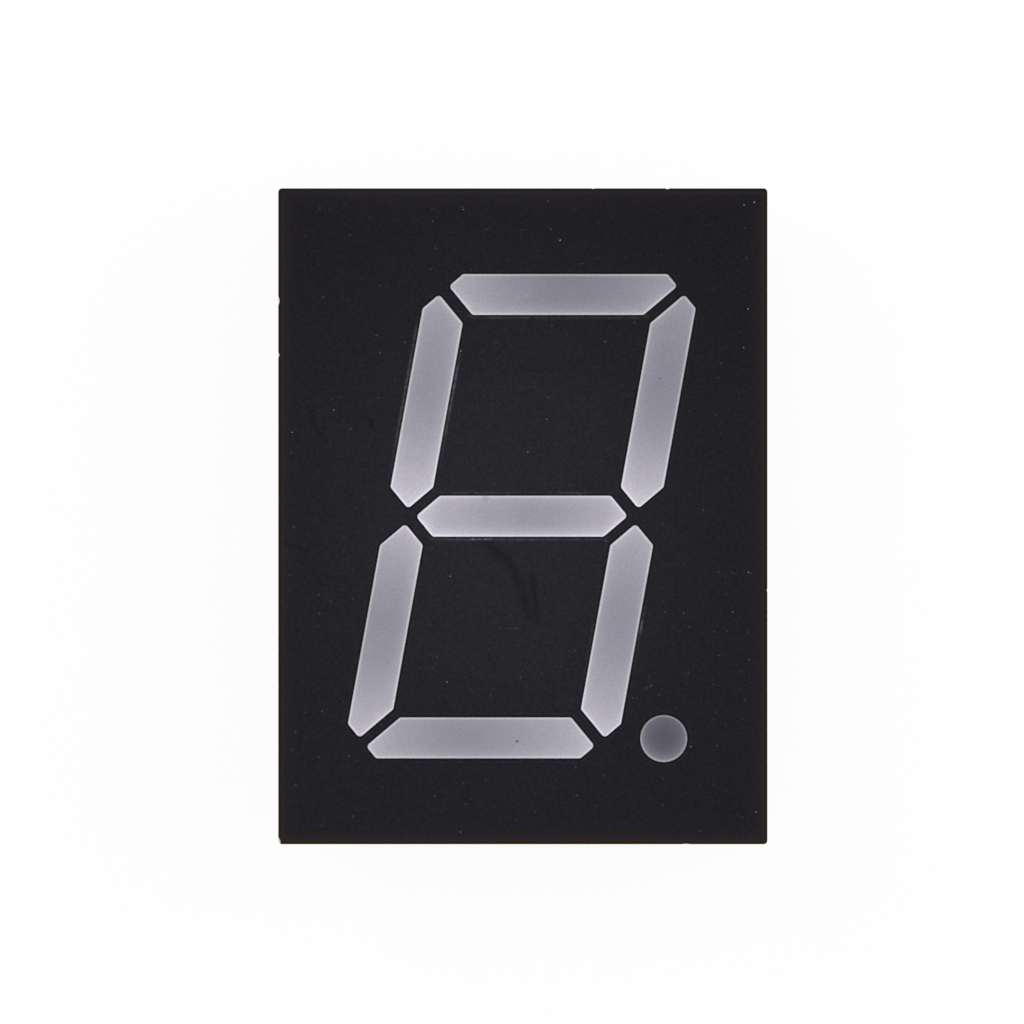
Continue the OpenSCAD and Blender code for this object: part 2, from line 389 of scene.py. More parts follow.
def grown(name, points, numbers, tree, inputs, edges=()):
    """An object with the plain mesh that a node tree makes from points. inputs go by their names."""
    mesh = bpy.data.meshes.new(name)
    mesh.from_pydata(points, edges, [])
    carry(mesh, numbers)
    seedbed = shown(name, mesh)
    modifier = seedbed.modifiers.new(name, "NODES")
    modifier.node_group = tree
    for socket in tree.interface.items_tree:
        if socket.in_out == "INPUT" and socket.name in inputs:
            modifier[socket.identifier] = inputs[socket.name]
    evaluated = seedbed.evaluated_get(bpy.context.evaluated_depsgraph_get())
    result = bpy.data.meshes.new_from_object(evaluated)
    bpy.data.objects.remove(seedbed)
    bpy.data.node_groups.remove(tree)
    result.name = name
    return shown(name, result)


def shaded(colour, *factors):
    """A colour times one factor, or times one for each of red, green and blue."""
    return tuple(np.multiply(colour, factors))


# ---- Node trees ----

class Nodes:
    """Short calls that build a node tree."""

    def __init__(self, tree):
        self.tree = tree

    def feed(self, socket, value):
        """Links an output to a socket, or sets the socket's own value, with a colour's alpha at 1."""
        if isinstance(value, bpy.types.NodeSocket):
            self.tree.links.new(value, socket)
        elif socket.type == "RGBA":
            socket.default_value = (*value[:3], 1)
        else:
            socket.default_value = value

    def add(self, kind, inputs=None, **settings):
        """A node with its settings and its named inputs."""
        node = self.tree.nodes.new(kind)
        for name, value in settings.items():
            setattr(node, name, value)
        for name, value in (inputs or {}).items():
            self.feed(node.inputs[name], value)
        return node

    def math(self, operation, *values, clamp=False):
        """The result of a sum on numbers."""
        node = self.add("ShaderNodeMath", operation=operation, use_clamp=clamp)
        for socket, value in zip(node.inputs, values):
            self.feed(socket, value)
        return node.outputs[0]

    def times(self, *values, clamp=False):
        return self.math("MULTIPLY", *values, clamp=clamp)

    def vector(self, operation, *values):
        """The result of a sum on places or colours."""
        node = self.add("ShaderNodeVectorMath", operation=operation)
        for socket, value in zip([s for s in node.inputs if s.enabled], values):
            self.feed(socket, value)
        return next(s for s in node.outputs if s.enabled)

    def fade(self, value, start, end, low=0.0, high=1.0):
        """A smooth step of value, from low at start to high at end."""
        node = self.add(
            "ShaderNodeMapRange",
            {"Value": value, "From Min": start, "From Max": end, "To Min": low, "To Max": high},
            interpolation_type="SMOOTHSTEP",
        )
        return node.outputs["Result"]

    def mix(self, factor, first, second):
        """Two colours mixed."""
        node = self.add("ShaderNodeMix", data_type="RGBA")
        for index, value in ((0, factor), (6, first), (7, second)):
            self.feed(node.inputs[index], value)
        return node.outputs[2]

    def mixed(self, factor, first, second):
        """Two shader nodes mixed."""
        node = self.add("ShaderNodeMixShader")
        for socket, value in zip(node.inputs, (factor, first.outputs[0], second.outputs[0])):
            self.feed(socket, value)
        return node

    def seen(self):
        """1 for rays from the camera and from shiny or clear surfaces, and 0 for the rest."""
        path = self.add("ShaderNodeLightPath").outputs
        seen = self.math("ADD", path["Is Camera Ray"], path["Is Glossy Ray"])
        return self.math("ADD", seen, path["Is Transmission Ray"], clamp=True)

    def closed(self, value):
        """The finished node group, which gives this value."""
        self.feed(self.add("NodeGroupOutput").inputs[0], value)
        return self.tree

    def painted(self, geometry, material):
        """The finished node group, which gives this geometry as real faces of a material."""
        real = self.add("GeometryNodeRealizeInstances", {"Geometry": geometry})
        painted = self.add("GeometryNodeSetMaterial", {"Geometry": real.outputs[0], "Material": material})
        return self.closed(painted.outputs[0])

    def point_numbers(self, name):
        """Numbers that a geometry tree's points carry."""
        node = self.add("GeometryNodeInputNamedAttribute", {"Name": name}, data_type="FLOAT")
        return node.outputs["Attribute"]


class Finish(Nodes):
    """A material on one surface shader, with a place in millimetres for its patterns."""

    def __init__(self, name, **sockets):
        self.material = bpy.data.materials.new(name)
        self.material.use_nodes = True
        super().__init__(self.material.node_tree)
        self.surface = self.tree.nodes["Principled BSDF"]
        self.set(**sockets)
        coordinates = self.add("ShaderNodeTexCoord")
        self.place = self.vector("MULTIPLY", coordinates.outputs["Object"], (PER_MM, PER_MM, PER_MM))

    def set(self, **sockets):
        """Sets or links the surface's sockets, whose spaces are written as underscores."""
        for name, value in sockets.items():
            self.feed(self.surface.inputs[name.replace("_", " ")], value)

    def carried(self, name):
        """Numbers that the mesh carries."""
        return self.add("ShaderNodeAttribute", attribute_name=name).outputs["Fac"]

    def noise(self, scale, detail, roughness=0.5, place=None):
        """A noise pattern from 0 to 1, with scale in features to a millimetre."""
        where = self.place if place is None else place
        inputs = {"Vector": where, "Scale": scale, "Detail": detail, "Roughness": roughness}
        return self.add("ShaderNodeTexNoise", inputs).outputs["Fac"]

    def speckle(self, scale, detail, spread, least):
        """A noise with its own red, green and blue, each from least up by spread."""
        node = self.add("ShaderNodeTexNoise", {"Vector": self.place, "Scale": scale, "Detail": detail})
        return self.vector("MULTIPLY_ADD", node.outputs["Color"], (spread,) * 3, (least,) * 3)

    def cells(self, scale, **settings):
        """A pattern of cells, with scale in cells to a millimetre."""
        inputs = {"Vector": self.place, "Scale": scale}
        return self.add("ShaderNodeTexVoronoi", inputs, **settings).outputs

    def masked(self, group, marks):
        """The strongest of a group's masks over a list of (strength, values for the group's inputs)."""
        total = 0.0
        for strength, inputs in marks:
            mask = self.add("ShaderNodeGroup", node_tree=group)
            for name, value in {"Place": self.place, **inputs}.items():
                self.feed(mask.inputs[name], value)
            total = self.math("MAXIMUM", total, self.times(mask.outputs["Mask"], strength))
        return total

    def strokes(self, group, lines):
        """The strongest of some strokes, each (strength, half width, start, end) in millimetres."""
        marks = []
        for strength, half_width, start, end in lines:
            reach = (end[0] - start[0], end[1] - start[1], 0)
            marks.append((strength, {"Start": (*start, 0), "Reach": reach, "Half width": half_width}))
        return self.masked(group, marks)

    def bump(self, height, distance):
        """Raises the surface by a pattern, with distance in metres."""
        node = self.add("ShaderNodeBump", {"Height": height, "Distance": distance})
        self.set(Normal=node.outputs["Normal"])


def node_group(name, kind, **sockets):
    """A new node group's Nodes and its inputs. The last of the named sockets is its result."""
    tree = bpy.data.node_groups.new(name, kind + "NodeTree")
    *inputs, result = sockets.items()
    for side, group in (("INPUT", inputs), ("OUTPUT", [result])):
        for label, what in group:
            tree.interface.new_socket(label.replace("_", " "), in_out=side, socket_type="NodeSocket" + what)
    nodes = Nodes(tree)
    return nodes, nodes.add("NodeGroupInput").outputs


def mask_group(name, **sockets):
    """A new group that gives a mask for a place, with its inputs and that place's x and y."""
    nodes, given = node_group(name, "Shader", Place="Vector", **sockets, Mask="Float")
    return nodes, given, nodes.vector("MULTIPLY", given["Place"], (1, 1, 0))


def spot_mask():
    """A node group: 1 at a point of the face and 0 outside a radius, in millimetres."""
    nodes, given, flat = mask_group("spot_mask", Centre="Vector", Radius="Float")
    gap = nodes.vector("DISTANCE", flat, given["Centre"])
    return nodes.closed(nodes.fade(nodes.math("DIVIDE", gap, given["Radius"]), 1.0, 0.3))


def stroke_mask():
    """A node group: 1 along a straight stroke on the face and 0 past its half width, in millimetres."""
    sockets = {"Start": "Vector", "Reach": "Vector", "Half_width": "Float"}
    nodes, given, flat = mask_group("stroke_mask", **sockets)
    away = nodes.vector("SUBTRACT", flat, given["Start"])
    run = nodes.vector("DOT_PRODUCT", given["Reach"], given["Reach"])
    part = nodes.math("DIVIDE", nodes.vector("DOT_PRODUCT", away, given["Reach"]), run, clamp=True)
    gap = nodes.vector("DISTANCE", away, nodes.vector("SCALE", given["Reach"], part))
    return nodes.closed(nodes.fade(nodes.math("DIVIDE", gap, given["Half width"]), 1.0, 0.0))


# ---- Stage ----

# Where the soft lamps hang, in metres. Both point at the origin
LAMPS = {"lamp_left": (-0.45, 0.30, 0.62), "lamp_right": (0.50, 0.10, 0.55)}


def floor_material(settings):
    """White to the camera and in reflections, with the lamps' shadow on it, and clear from below."""
    material = bpy.data.materials.new("floor")
    material.use_nodes = True
    nodes = Nodes(material.node_tree)
    nodes.tree.nodes.remove(nodes.tree.nodes["Principled BSDF"])
    paper = nodes.add("ShaderNodeBsdfDiffuse", {"Color": (0.8, 0.8, 0.8)})
    white = nodes.add("ShaderNodeBsdfDiffuse", {"Color": (1, 1, 1)})
    glow = nodes.add("ShaderNodeEmission", {"Color": (1, 1, 1), "Strength": 1.0})
    both = nodes.mixed(nodes.seen(), paper, nodes.mixed(settings.shadow, glow, white))
    below = nodes.add("ShaderNodeNewGeometry").outputs["Backfacing"]
    sided = nodes.mixed(below, both, nodes.add("ShaderNodeBsdfTransparent"))
    nodes.feed(nodes.tree.nodes["Material Output"].inputs["Surface"], sided.outputs[0])
    return material


class DISPLAY_OT_stage(bpy.types.Operator):
    """Floor, even room light, soft lamps and the camera over the face"""
    bl_idname = "display.stage"
    bl_label = "Stage"

    def execute(self, context):
        settings = context.scene.display_stage
        self.floor(settings)
        self.room(context.scene, settings)
        self.lamps(settings)
        self.camera(context.scene, settings)
        context.scene.view_settings.view_transform = "Standard"
        return {"FINISHED"}

    def floor(self, settings):
        half = settings.floor_size / 2
        sheet = Shell()
        sheet.faces.append(sheet.ring(oblong((-half, -half), (half, half)), PIN_TIP))
        floor = sheet.made("floor")
        floor.data.materials.append(floor_material(settings))

    def room(self, scene, settings):
        world = bpy.data.worlds.new("room")
        world.use_nodes = True
        scene.world = world
        nodes = Nodes(world.node_tree)
        background = nodes.tree.nodes["Background"].inputs
        nodes.feed(background["Color"], (1, 1, 1))
        nodes.feed(background["Strength"], nodes.fade(nodes.seen(), 0.0, 1.0, settings.room_light, 1.0))

    def lamps(self, settings):
        for name, place in LAMPS.items():
            light = bpy.data.lights.new(name, "AREA")
            light.energy = settings.lamp_power
            light.size = settings.lamp_size
            lamp = shown(name, light)
            lamp.location = place
            lamp.rotation_euler = Vector(place).to_track_quat("Z", "Y").to_euler()

    def camera(self, scene, settings):
        lens = bpy.data.cameras.new("camera")
        lens.lens = settings.lens
        lens.sensor_width = 36
        camera = shown("camera", lens)
        camera.location = (settings.camera_x, settings.camera_y, FILM_HIGH.z + settings.camera_height)
        scene.camera = camera


# ---- Housing ----

class DISPLAY_OT_housing(bpy.types.Operator):
    """The white moulding, with a softened rear rim and a fine spark-eroded texture"""
    bl_idname = "display.housing"
    bl_label = "Housing"

    def execute(self, context):
        settings = context.scene.display_housing
        housing = shown("moulded_housing", frame["nodes"]["housing"].data.copy())
        self.soften(housing.data, settings.edge)
        finished(housing, self.material(settings), "white_moulding", "housing")
        return {"FINISHED"}

    def soften(self, mesh, width):
        """Merges the loose triangles, then bevels the rear rim's outer and inner edges."""
        solid = bmesh.new()
        solid.from_mesh(mesh)
        bmesh.ops.remove_doubles(solid, verts=solid.verts, dist=SAME_POINT)
        low = [e for e in solid.edges if all(abs(v.co.z - HOUSING_LOW.z) < SAME_LEVEL for v in e.verts)]
        rim = [e for e in low if e.calc_face_angle(0) > 0.5]
        bmesh.ops.bevel(solid, geom=rim, offset=width, segments=3, profile=0.5, affect="EDGES")
        solid.to_mesh(mesh)
        solid.free()
        crisp(mesh)

    def material(self, settings):
        finish = Finish("white_moulding")
        cloud = finish.fade(finish.noise(0.09, 3), 0.35, 0.7)
        grain = finish.noise(9.0, 3, 0.6)
        yellowed = shaded(settings.colour, 0.975, 0.968, 0.95)
        finish.set(Base_Color=finish.mix(cloud, settings.colour, yellowed))
        finish.set(Roughness=finish.fade(grain, 0.2, 0.8, 0.36, 0.50))
        finish.bump(grain, 0.006 * MM)
        return finish.material


# ---- Face film ----

# Where the film's lip beside a bar catches the light: the bar and its side, 1 for the upper or
# right one, then (place, strength) along it, with the place as x or y in millimetres
SHINE = {
    ("a", -1): [(-5.0, 0.20), (-2.0, 0.30), (1.0, 0.25), (4.0, 0.18), (9.0, 0.22)],
    ("c", 1): [
        (-13.0, 0.05), (-12.0, 0.12), (-10.0, 0.20), (-9.2, 0.35), (-8.6, 0.95), (-8.0, 0.20), (-6.5, 0.05),
    ],
    ("c", -1): [(-14.0, 0.05), (-12.0, 0.10), (-8.7, 0.16), (-7.5, 0.10), (-5.0, 0.05)],
    ("e", 1): [(-7.0, 0.06), (-5.6, 0.20), (-5.0, 0.06)],
    ("f", 1): [
        (3.5, 0.12), (6.0, 0.20), (6.5, 0.45), (7.5, 0.30),
        (8.7, 0.65), (10.6, 0.70), (12.5, 0.35), (13.3, 0.06),
    ],
    ("f", -1): [
        (2.5, 0.08), (5.0, 0.25), (8.5, 0.52), (9.5, 0.35),
        (10.6, 0.62), (12.4, 0.38), (14.5, 0.42), (15.5, 0.04),
    ],
    ("g", 1): [(-6.8, 0.10), (-4.0, 0.30), (-1.0, 0.25), (0.8, 0.10), (3.0, 0.22), (4.3, 0.45), (5.5, 0.10)],
    ("g", -1): [
        (-6.5, 0.35), (-4.8, 0.45), (-4.0, 0.95), (-3.0, 0.90),
        (-2.0, 0.42), (2.0, 0.42), (3.0, 0.28), (6.0, 0.25),
    ],
}
SHINE_ELSEWHERE = 0.06
# Faint scratches away from the bars: strength, half width, start and end, in millimetres
SCRATCHES = [
    (0.05, 0.070, (-1.9, -8.75), (-0.4, -8.8)),
    (0.20, 0.110, (9.57, -13.56), (10.1, -13.3)),
    (0.16, 0.045, (14.9, -4.40), (18.2, -4.45)),
]
# Dark wiped marks, in the same form
WIPES = [
    (0.55, 0.75, (-2.8, -2.1), (-1.2, -3.5)),
    (0.60, 0.70, (-1.2, -3.5), (-0.2, -5.3)),
    (0.50, 0.60, (-0.2, -5.3), (0.5, -7.9)),
    (0.50, 0.50, (0.76, -4.6), (1.15, -8.2)),
    (0.45, 0.45, (-18.8, -2.1), (-17.0, -2.6)),
    (0.35, 0.40, (-16.7, -3.7), (-15.8, -5.4)),
    (0.45, 0.40, (-16.6, 8.2), (-16.3, 7.0)),
    (0.40, 0.40, (-16.3, 7.0), (-15.4, 5.9)),
    (0.55, 0.50, (-11.85, 7.5), (-11.7, 7.0)),
    (0.30, 0.50, (14.9, -6.1), (15.2, -6.3)),
]
# Dust in the film's surface, from few dots to many: dots to a millimetre, radius in millimetres,
# how uneven the dots' strengths are, and the strongest dot
DUST = [(0.45, 0.13, 3.0, 0.13), (1.0, 0.12, 4.0, 0.05), (2.2, 0.11, 3.0, 0.02)]
# Distances out from a window at which the film has points, in millimetres, and between them along it
LIP_STEPS = [0.05, 0.09, 0.13, 0.165, 0.20, 0.24, 0.28, 0.34, 0.44]
LIP_STEP = 0.2 * MM
# A moved point is kept where it is at least this share of its step away from every outline
KEPT = 0.985
# Widths of the light and the dark line beside a window, where the dark one lies as a share of the
# roll, how strong it is beside a bar and the point, and the corners from which an outline is round
SHINE_W = 0.085 * MM
SHADE_W = 0.06 * MM
SHADE_PLACE = 0.65
SHADES = (0.8, 1.0)
ROUND_FROM = 12


class FilmFinish(Finish):
    """The film's matt black, with what handling has left on it, a painted sheen of the lamps and painted
    highlights.
    """

    def __init__(self, settings):
        super().__init__("black_film", Specular_IOR_Level=0.05)
        stroke = stroke_mask()
        # Painted sheen of the lamps: greyer in the middle and low to the left
        black = self.mix(self.painted_sheen(), settings.colour, settings.painted_sheen)
        black = self.mix(self.wiped(stroke), black, shaded(settings.colour, 0.5))
        black = self.mix(self.carried("shade"), black, shaded(settings.colour, 0.3))
        black = self.speckled(black)
        pale = self.math("MAXIMUM", self.dust(), self.scratched(stroke))
        # Painted highlight where the lips catch the light, in the same pale colour as the dust
        pale = self.math("ADD", pale, self.lit_lip(), clamp=True)
        colour = self.mix(pale, black, settings.dust)
        self.set(Base_Color=self.edged(settings, colour))
        grain = self.noise(6.0, 3, 0.6)
        self.set(Roughness=self.fade(grain, 0.25, 0.75, 0.42, 0.58))
        self.bump(self.math("MULTIPLY_ADD", pale, 2.0, grain), 0.004 * MM)

    def edged(self, settings, colour):
        """The film's border: rubbed greyer, then a painted highlight line just inside the cut, then the brown
        edge of the cut.
        """
        inside = self.border_distance()
        rubbed = self.math("EXPONENT", self.times(inside, -1 / (settings.rubbed_w * PER_MM)))
        colour = self.mix(rubbed, colour, settings.rubbed)
        # Painted highlight on that raised line, in patches
        off_ridge = self.math("MULTIPLY_ADD", inside, 9.0, -9.0 * settings.ridge_w * PER_MM)
        ridge_highlight = self.math("EXPONENT", self.times(self.times(off_ridge, off_ridge), -1.0))
        patchy = self.fade(self.noise(0.5, 3), 0.3, 0.7, 0.6, 1.1)
        ridge_highlight = self.math("MINIMUM", self.times(ridge_highlight, patchy), 1.0)
        colour = self.mix(ridge_highlight, colour, settings.ridge_highlight)
        slope = self.vector("DOT_PRODUCT", self.place, (-0.011, -0.008, 0))
        down = self.vector("DOT_PRODUCT", self.place, (0, -1, 0))
        border = FACE_H / 2 * PER_MM
        bottom = self.fade(down, border - 0.7, border - 0.2, 0.15, 0.9)
        lower = self.math("ADD", slope, bottom, clamp=True)
        brown = self.mix(lower, settings.upper_fringe, settings.fringe)
        at_edge = self.fade(inside, settings.fringe_w * PER_MM, 0.15)
        return self.mix(self.times(at_edge, self.times(patchy, 1.15), clamp=True), colour, brown)

    def painted_sheen(self):
        """Painted sheen of the lamps: greyest in the middle, and greyer low and to the left, in soft clouds.
        """
        centre = self.vector("SUBTRACT", self.place, (-1.2, 0.4, 0))
        squeezed = self.vector("MULTIPLY", centre, (1 / 15.8, 1 / 18.0, 0))
        square = self.vector("DOT_PRODUCT", squeezed, squeezed)
        dome = self.math("EXPONENT", self.times(square, -1.0))
        slope = self.math("ADD", self.vector("DOT_PRODUCT", self.place, (-0.0022, -0.0048, 0)), 0.124)
        level = self.math("MULTIPLY_ADD", dome, 0.874, slope)
        cloud = self.noise(0.16, 4, 0.55)
        return self.times(level, self.fade(cloud, 0.3, 0.7, 0.92, 1.08), clamp=True)

    def lit_lip(self):
        """The lips' light line, broken into dashes and dots by a pattern along it."""
        breaks = self.fade(self.noise(2.4, 4, 0.7), 0.36, 0.64, 0.45, 1.5)
        return self.times(self.times(self.carried("shine"), 0.21), breaks)

    def wiped(self, stroke):
        """Dark wiped marks of uneven strength."""
        uneven = self.fade(self.noise(0.9, 3), 0.2, 0.7, 0.5, 1.0)
        return self.times(self.strokes(stroke, WIPES), uneven)

    def scratched(self, stroke):
        """Scratches broken into dots by a pattern along them."""
        dashes = self.fade(self.noise(3.2, 4, 0.7), 0.46, 0.62)
        return self.times(self.strokes(stroke, SCRATCHES), dashes)

    def speckled(self, black):
        """Fine speckle over the black, partly grey and partly warm and cool."""
        grey = self.fade(self.noise(5.0, 1), 0.2, 0.8, 0.80, 1.20)
        warm = self.speckle(4.8, 1.0, 0.7, 0.65)
        return self.vector("MULTIPLY", black, self.vector("SCALE", warm, grey))

    def dust(self):
        """Small pale dots of very uneven strength, thicker in some places than in others."""
        total = 0.0
        settled = self.fade(self.noise(0.11, 2), 0.35, 0.65, 0.5, 1.3)
        for scale, radius, unevenness, strongest in DUST:
            cells = self.cells(scale, voronoi_dimensions="2D")
            size = self.times(cells["Distance"], 1 / scale)
            chance = self.add("ShaderNodeSeparateColor", {"Color": cells["Color"]}).outputs[0]
            strength = self.times(self.math("POWER", chance, unevenness), strongest)
            dot = self.times(self.fade(size, radius, 0.0), strength)
            total = self.math("MAXIMUM", total, dot)
        return self.times(total, settled)

    def border_distance(self):
        """How far a place lies inside the film's border, in millimetres."""
        place = self.add("ShaderNodeSeparateXYZ", {"Vector": self.place}).outputs
        gaps = [
            self.math("SUBTRACT", side / 2 * PER_MM, self.math("ABSOLUTE", across))
            for side, across in ((FACE_W, place["X"]), (FACE_H, place["Y"]))
        ]
        return self.math("MINIMUM", *gaps)


class DISPLAY_OT_film(bpy.types.Operator):
    """The matt black film: with a painted sheen of the lamps, dusty, bright in places beside its windows,
    brown at its cut edge
    """
    bl_idname = "display.film"
    bl_label = "Face film"

    def execute(self, context):
        settings = context.scene.display_film
        sheet = self.sheet(settings)
        finished(sheet, FilmFinish(settings).material, "black_film", "face_film")
        return {"FINISHED"}

    def sheet(self, settings):
        """The sheet, with close points round its windows that carry their dark and light lines."""
        border, *holes = flat_outlines("face_film", FILM_HIGH.z)
        corners = [ring[::-1] for ring in holes]
        windows = [divided([ring], LIP_STEP)[0] for ring in corners]
        rim = np.concatenate([border, *windows])
        rows = [rim]
        for ring in windows:
            for out in LIP_STEPS:
                moved = ring - inward(ring) * out * MM
                rows.append(moved[self.gaps(moved, corners).min(axis=0) > KEPT * out * MM])
        plan = np.concatenate(rows)
        gaps = self.gaps(plan, corners)
        nearest = gaps.argmin(axis=0)
        gap = gaps.min(axis=0)
        shine = np.zeros(len(plan))
        for number, ring in enumerate(corners):
            near = nearest == number
            shine[near] = self.strengths(plan[near], ring)
        shine *= np.exp(-(((gap - settings.roll) / SHINE_W) ** 2))
        shade = np.where([len(ring) < ROUND_FROM for ring in corners], *SHADES)[nearest]
        shade *= np.exp(-(((gap - SHADE_PLACE * settings.roll) / SHADE_W) ** 2))
        shell = Shell()
        shell.ring(plan, FILM_HIGH.z)
        low = shell.ring(rim, FILM_LOW.z)
        loops = looped([border, *windows])
        shell.faces = filled(plan, loops)
        shell.faces += [[low[i] for i in face[::-1]] for face in filled(rim, loops)]
        for loop in loops:
            shell.band([low[i] for i in loop], loop)
        return shell.made("film_sheet", shine=shine, shade=shade)

    def gaps(self, points, rings):
        """How far each point lies from each of some outlines, a row for each outline."""
        return np.array([edge_distance(points, ring) for ring in rings])

    def strengths(self, points, window):
        """How brightly the lip beside a window catches the light at points of the film."""
        centre = (window.min(axis=0) + window.max(axis=0)) / 2
        middles = {bar: np.array(sum(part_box("segment_" + bar), Vector()).xy) / 2 for bar in BARS}
        bar = min(BARS, key=lambda name: np.linalg.norm(middles[name] - centre))
        result = np.full(len(points), SHINE_ELSEWHERE)
        if np.linalg.norm(middles[bar] - centre) > 1 * MM:
            return result
        along, across = bar_axes(window)
        height, edges = points @ across, window @ across
        place = points[:, np.argmax(abs(along))] * PER_MM
        for sign, beside in ((1, height > edges.max()), (-1, height < edges.min())):
            if (bar, sign) in SHINE:
                result[beside] = np.interp(place[beside], *zip(*SHINE[bar, sign]))
        return result


# The largest flecks of dust, in millimetres on the face: place, then size
FLECKS = [
    ((18.15, 24.63), 0.12), ((17.36, 24.42), 0.09), ((2.93, 21.65), 0.10), ((-4.65, 24.05), 0.07),
    ((17.67, 16.26), 0.10), ((17.31, 13.23), 0.08), ((2.28, 14.93), 0.07), ((1.86, 7.61), 0.08),
    ((0.39, 5.05), 0.08), ((-14.85, 8.34), 0.10), ((-18.09, 6.59), 0.10), ((-7.08, 23.14), 0.06),
    ((-4.86, 12.97), 0.08), ((17.7, -4.39), 0.08), ((16.47, -7.5), 0.08), ((17.75, -11.25), 0.08),
    ((13.18, -18.06), 0.09), ((-1.83, -8.72), 0.045), ((-1.17, -8.85), 0.04), ((-0.57, -8.80), 0.04),
    ((-0.96, -7.78), 0.04), ((-5.7, -4.7), 0.09), ((-5.96, -13.0), 0.10), ((-15.1, -6.7), 0.055),
    ((18.3, -23.2), 0.09), ((15.0, -9.05), 0.06), ((11.15, -7.55), 0.055), ((12.6, -7.6), 0.055),
]
# The small ones: how many, the least size, how much larger they may be, and how much of the face's
# width and height they are strewn over
SMALL_FLECKS = 12
SMALL_SIZE = 0.035
SMALL_SPREAD = 0.04
STREWN = 0.97
# Every fleck's height, and the least and the most that it is turned and stretched
FLECK_H = 0.03 * MM
FLECK_TURNS = ((0, 0, 0), (0.2, 0.2, math.tau))
FLECK_STRETCHES = ((0.8, 0.5, 1.0), (1.5, 0.9, 1.0))
SEED = 7


def fleck_tree():
    """Sets one flattened grain on each point, with its own turn and stretch."""
    sockets = {"Points": "Geometry", "Height": "Float", "Seed": "Int", "Material": "Material"}
    nodes, given = node_group("flecks", "Geometry", **sockets, Geometry="Geometry")
    chance = []
    for low, high in (FLECK_TURNS, FLECK_STRETCHES):
        node = nodes.add("FunctionNodeRandomValue", {"Seed": given["Seed"]}, data_type="FLOAT_VECTOR")
        nodes.feed(node.inputs[0], low)
        nodes.feed(node.inputs[1], high)
        chance.append(node.outputs[0])
    turn, spread = chance
    grain = nodes.add("GeometryNodeMeshIcoSphere", {"Radius": 0.5, "Subdivisions": 2}).outputs["Mesh"]
    wide = nodes.vector("SCALE", spread, nodes.point_numbers("size"))
    wide = nodes.add("ShaderNodeSeparateXYZ", {"Vector": wide}).outputs
    scale = nodes.add("ShaderNodeCombineXYZ", {"X": wide["X"], "Y": wide["Y"], "Z": given["Height"]})
    setting = {"Points": given["Points"], "Instance": grain, "Rotation": turn, "Scale": scale.outputs[0]}
    flecks = nodes.add("GeometryNodeInstanceOnPoints", setting)
    return nodes.painted(flecks.outputs["Instances"], given["Material"])


class DISPLAY_OT_dust(bpy.types.Operator):
    """Flecks of dust that lie on the film"""
    bl_idname = "display.dust"
    bl_label = "Dust flecks"

    def execute(self, context):
        settings = context.scene.display_film
        finish = Finish("dust", Roughness=0.9)
        shade = finish.noise(8.0, 2)
        finish.set(Base_Color=finish.mix(shade, shaded(settings.dust, 0.7), settings.dust))
        places, sizes = self.scattered()
        points = [(x * MM, y * MM, FILM_HIGH.z) for x, y in places]
        inputs = {"Height": FLECK_H, "Seed": SEED, "Material": finish.material}
        flecks = grown("dust_flecks", points, {"size": [size * MM for size in sizes]}, fleck_tree(), inputs)
        finished(flecks, finish.material, "black_film")
        return {"FINISHED"}

    def scattered(self):
        """The large flecks, and small ones strewn over the film clear of its windows."""
        chance = np.random.default_rng(SEED)
        _, *windows = flat_outlines("face_film", FILM_HIGH.z)
        boxes = [(ring.min(axis=0) * PER_MM, ring.max(axis=0) * PER_MM) for ring in windows]
        places = [place for place, _ in FLECKS]
        sizes = [size for _, size in FLECKS]
        while len(places) < len(FLECKS) + SMALL_FLECKS:
            place = (chance.random(2) - 0.5) * STREWN * np.array([FACE_W, FACE_H]) * PER_MM
            if not any((low < place).all() and (place < high).all() for low, high in boxes):
                places.append(tuple(place))
                sizes.append(SMALL_SIZE + SMALL_SPREAD * chance.random() ** 3)
        return places, sizes


# ---- Diffusers ----

# Painted light and shade of the cell under each bar: how light each bar is along its length, as shares of
# white:
# the first end (left or top), the darkest place over the dice, the last end, and where along the bar that
# darkest place lies
BAR_SHADING = {
    "a": (0.40, 0.203, 0.326, 0.54),
    "b": (0.278, 0.225, 0.567, 0.43),
    "c": (0.41, 0.258, 0.502, 0.45),
    "d": (0.413, 0.256, 0.444, 0.43),
    "e": (0.45, 0.253, 0.494, 0.48),
    "f": (0.328, 0.258, 0.572, 0.41),
    "g": (0.466, 0.292, 0.44, 0.55),
}
# Painted light: how much lighter the epoxy is at its long edges: the upper or right one, then the other
BAR_GLOW = {
    "a": (-0.01, 0.185), "b": (0.05, 0.10), "c": (0.075, 0.12), "d": (0.05, 0.13),
    "e": (0.135, 0.03), "f": (0.15, 0.075), "g": (0.135, 0.28),
}
GLOW_REACH = 0.45 * MM
# How far from a bar's middle line one edge's glow has given way to the other's, how sharply the
# tone turns at the darkest place, and how far in from an edge the epoxy sinks
GLOW_SPLIT = 0.8 * MM
TONE_POWER = 1.8
DIP_REACH = 0.25 * MM
# The bright line just inside every edge: how much lighter it is, the share of that it loses at a
# bar's lower edge as painted shade, where it lies and its half width
RIM_LIFT = 0.23
RIM_LOWER_SHADE = 0.26
RIM_PLACE = 0.088 * MM
RIM_W = 0.072 * MM
# Painted light and shade of the point's cell: its tone at its centre and its edge and how late it rises, how
# far it darkens to the right and up, how much lighter its bright line is, and the points round its outline
POINT_TONE = (0.064, 0.177)
POINT_POWER = 2.9
POINT_SHADE_FALL = (0.16, 0.58)
POINT_RIM = 0.16
POINT_STEPS = 120
# The tone of a diffuser's body, below its face
HIDDEN_TONE = 0.3
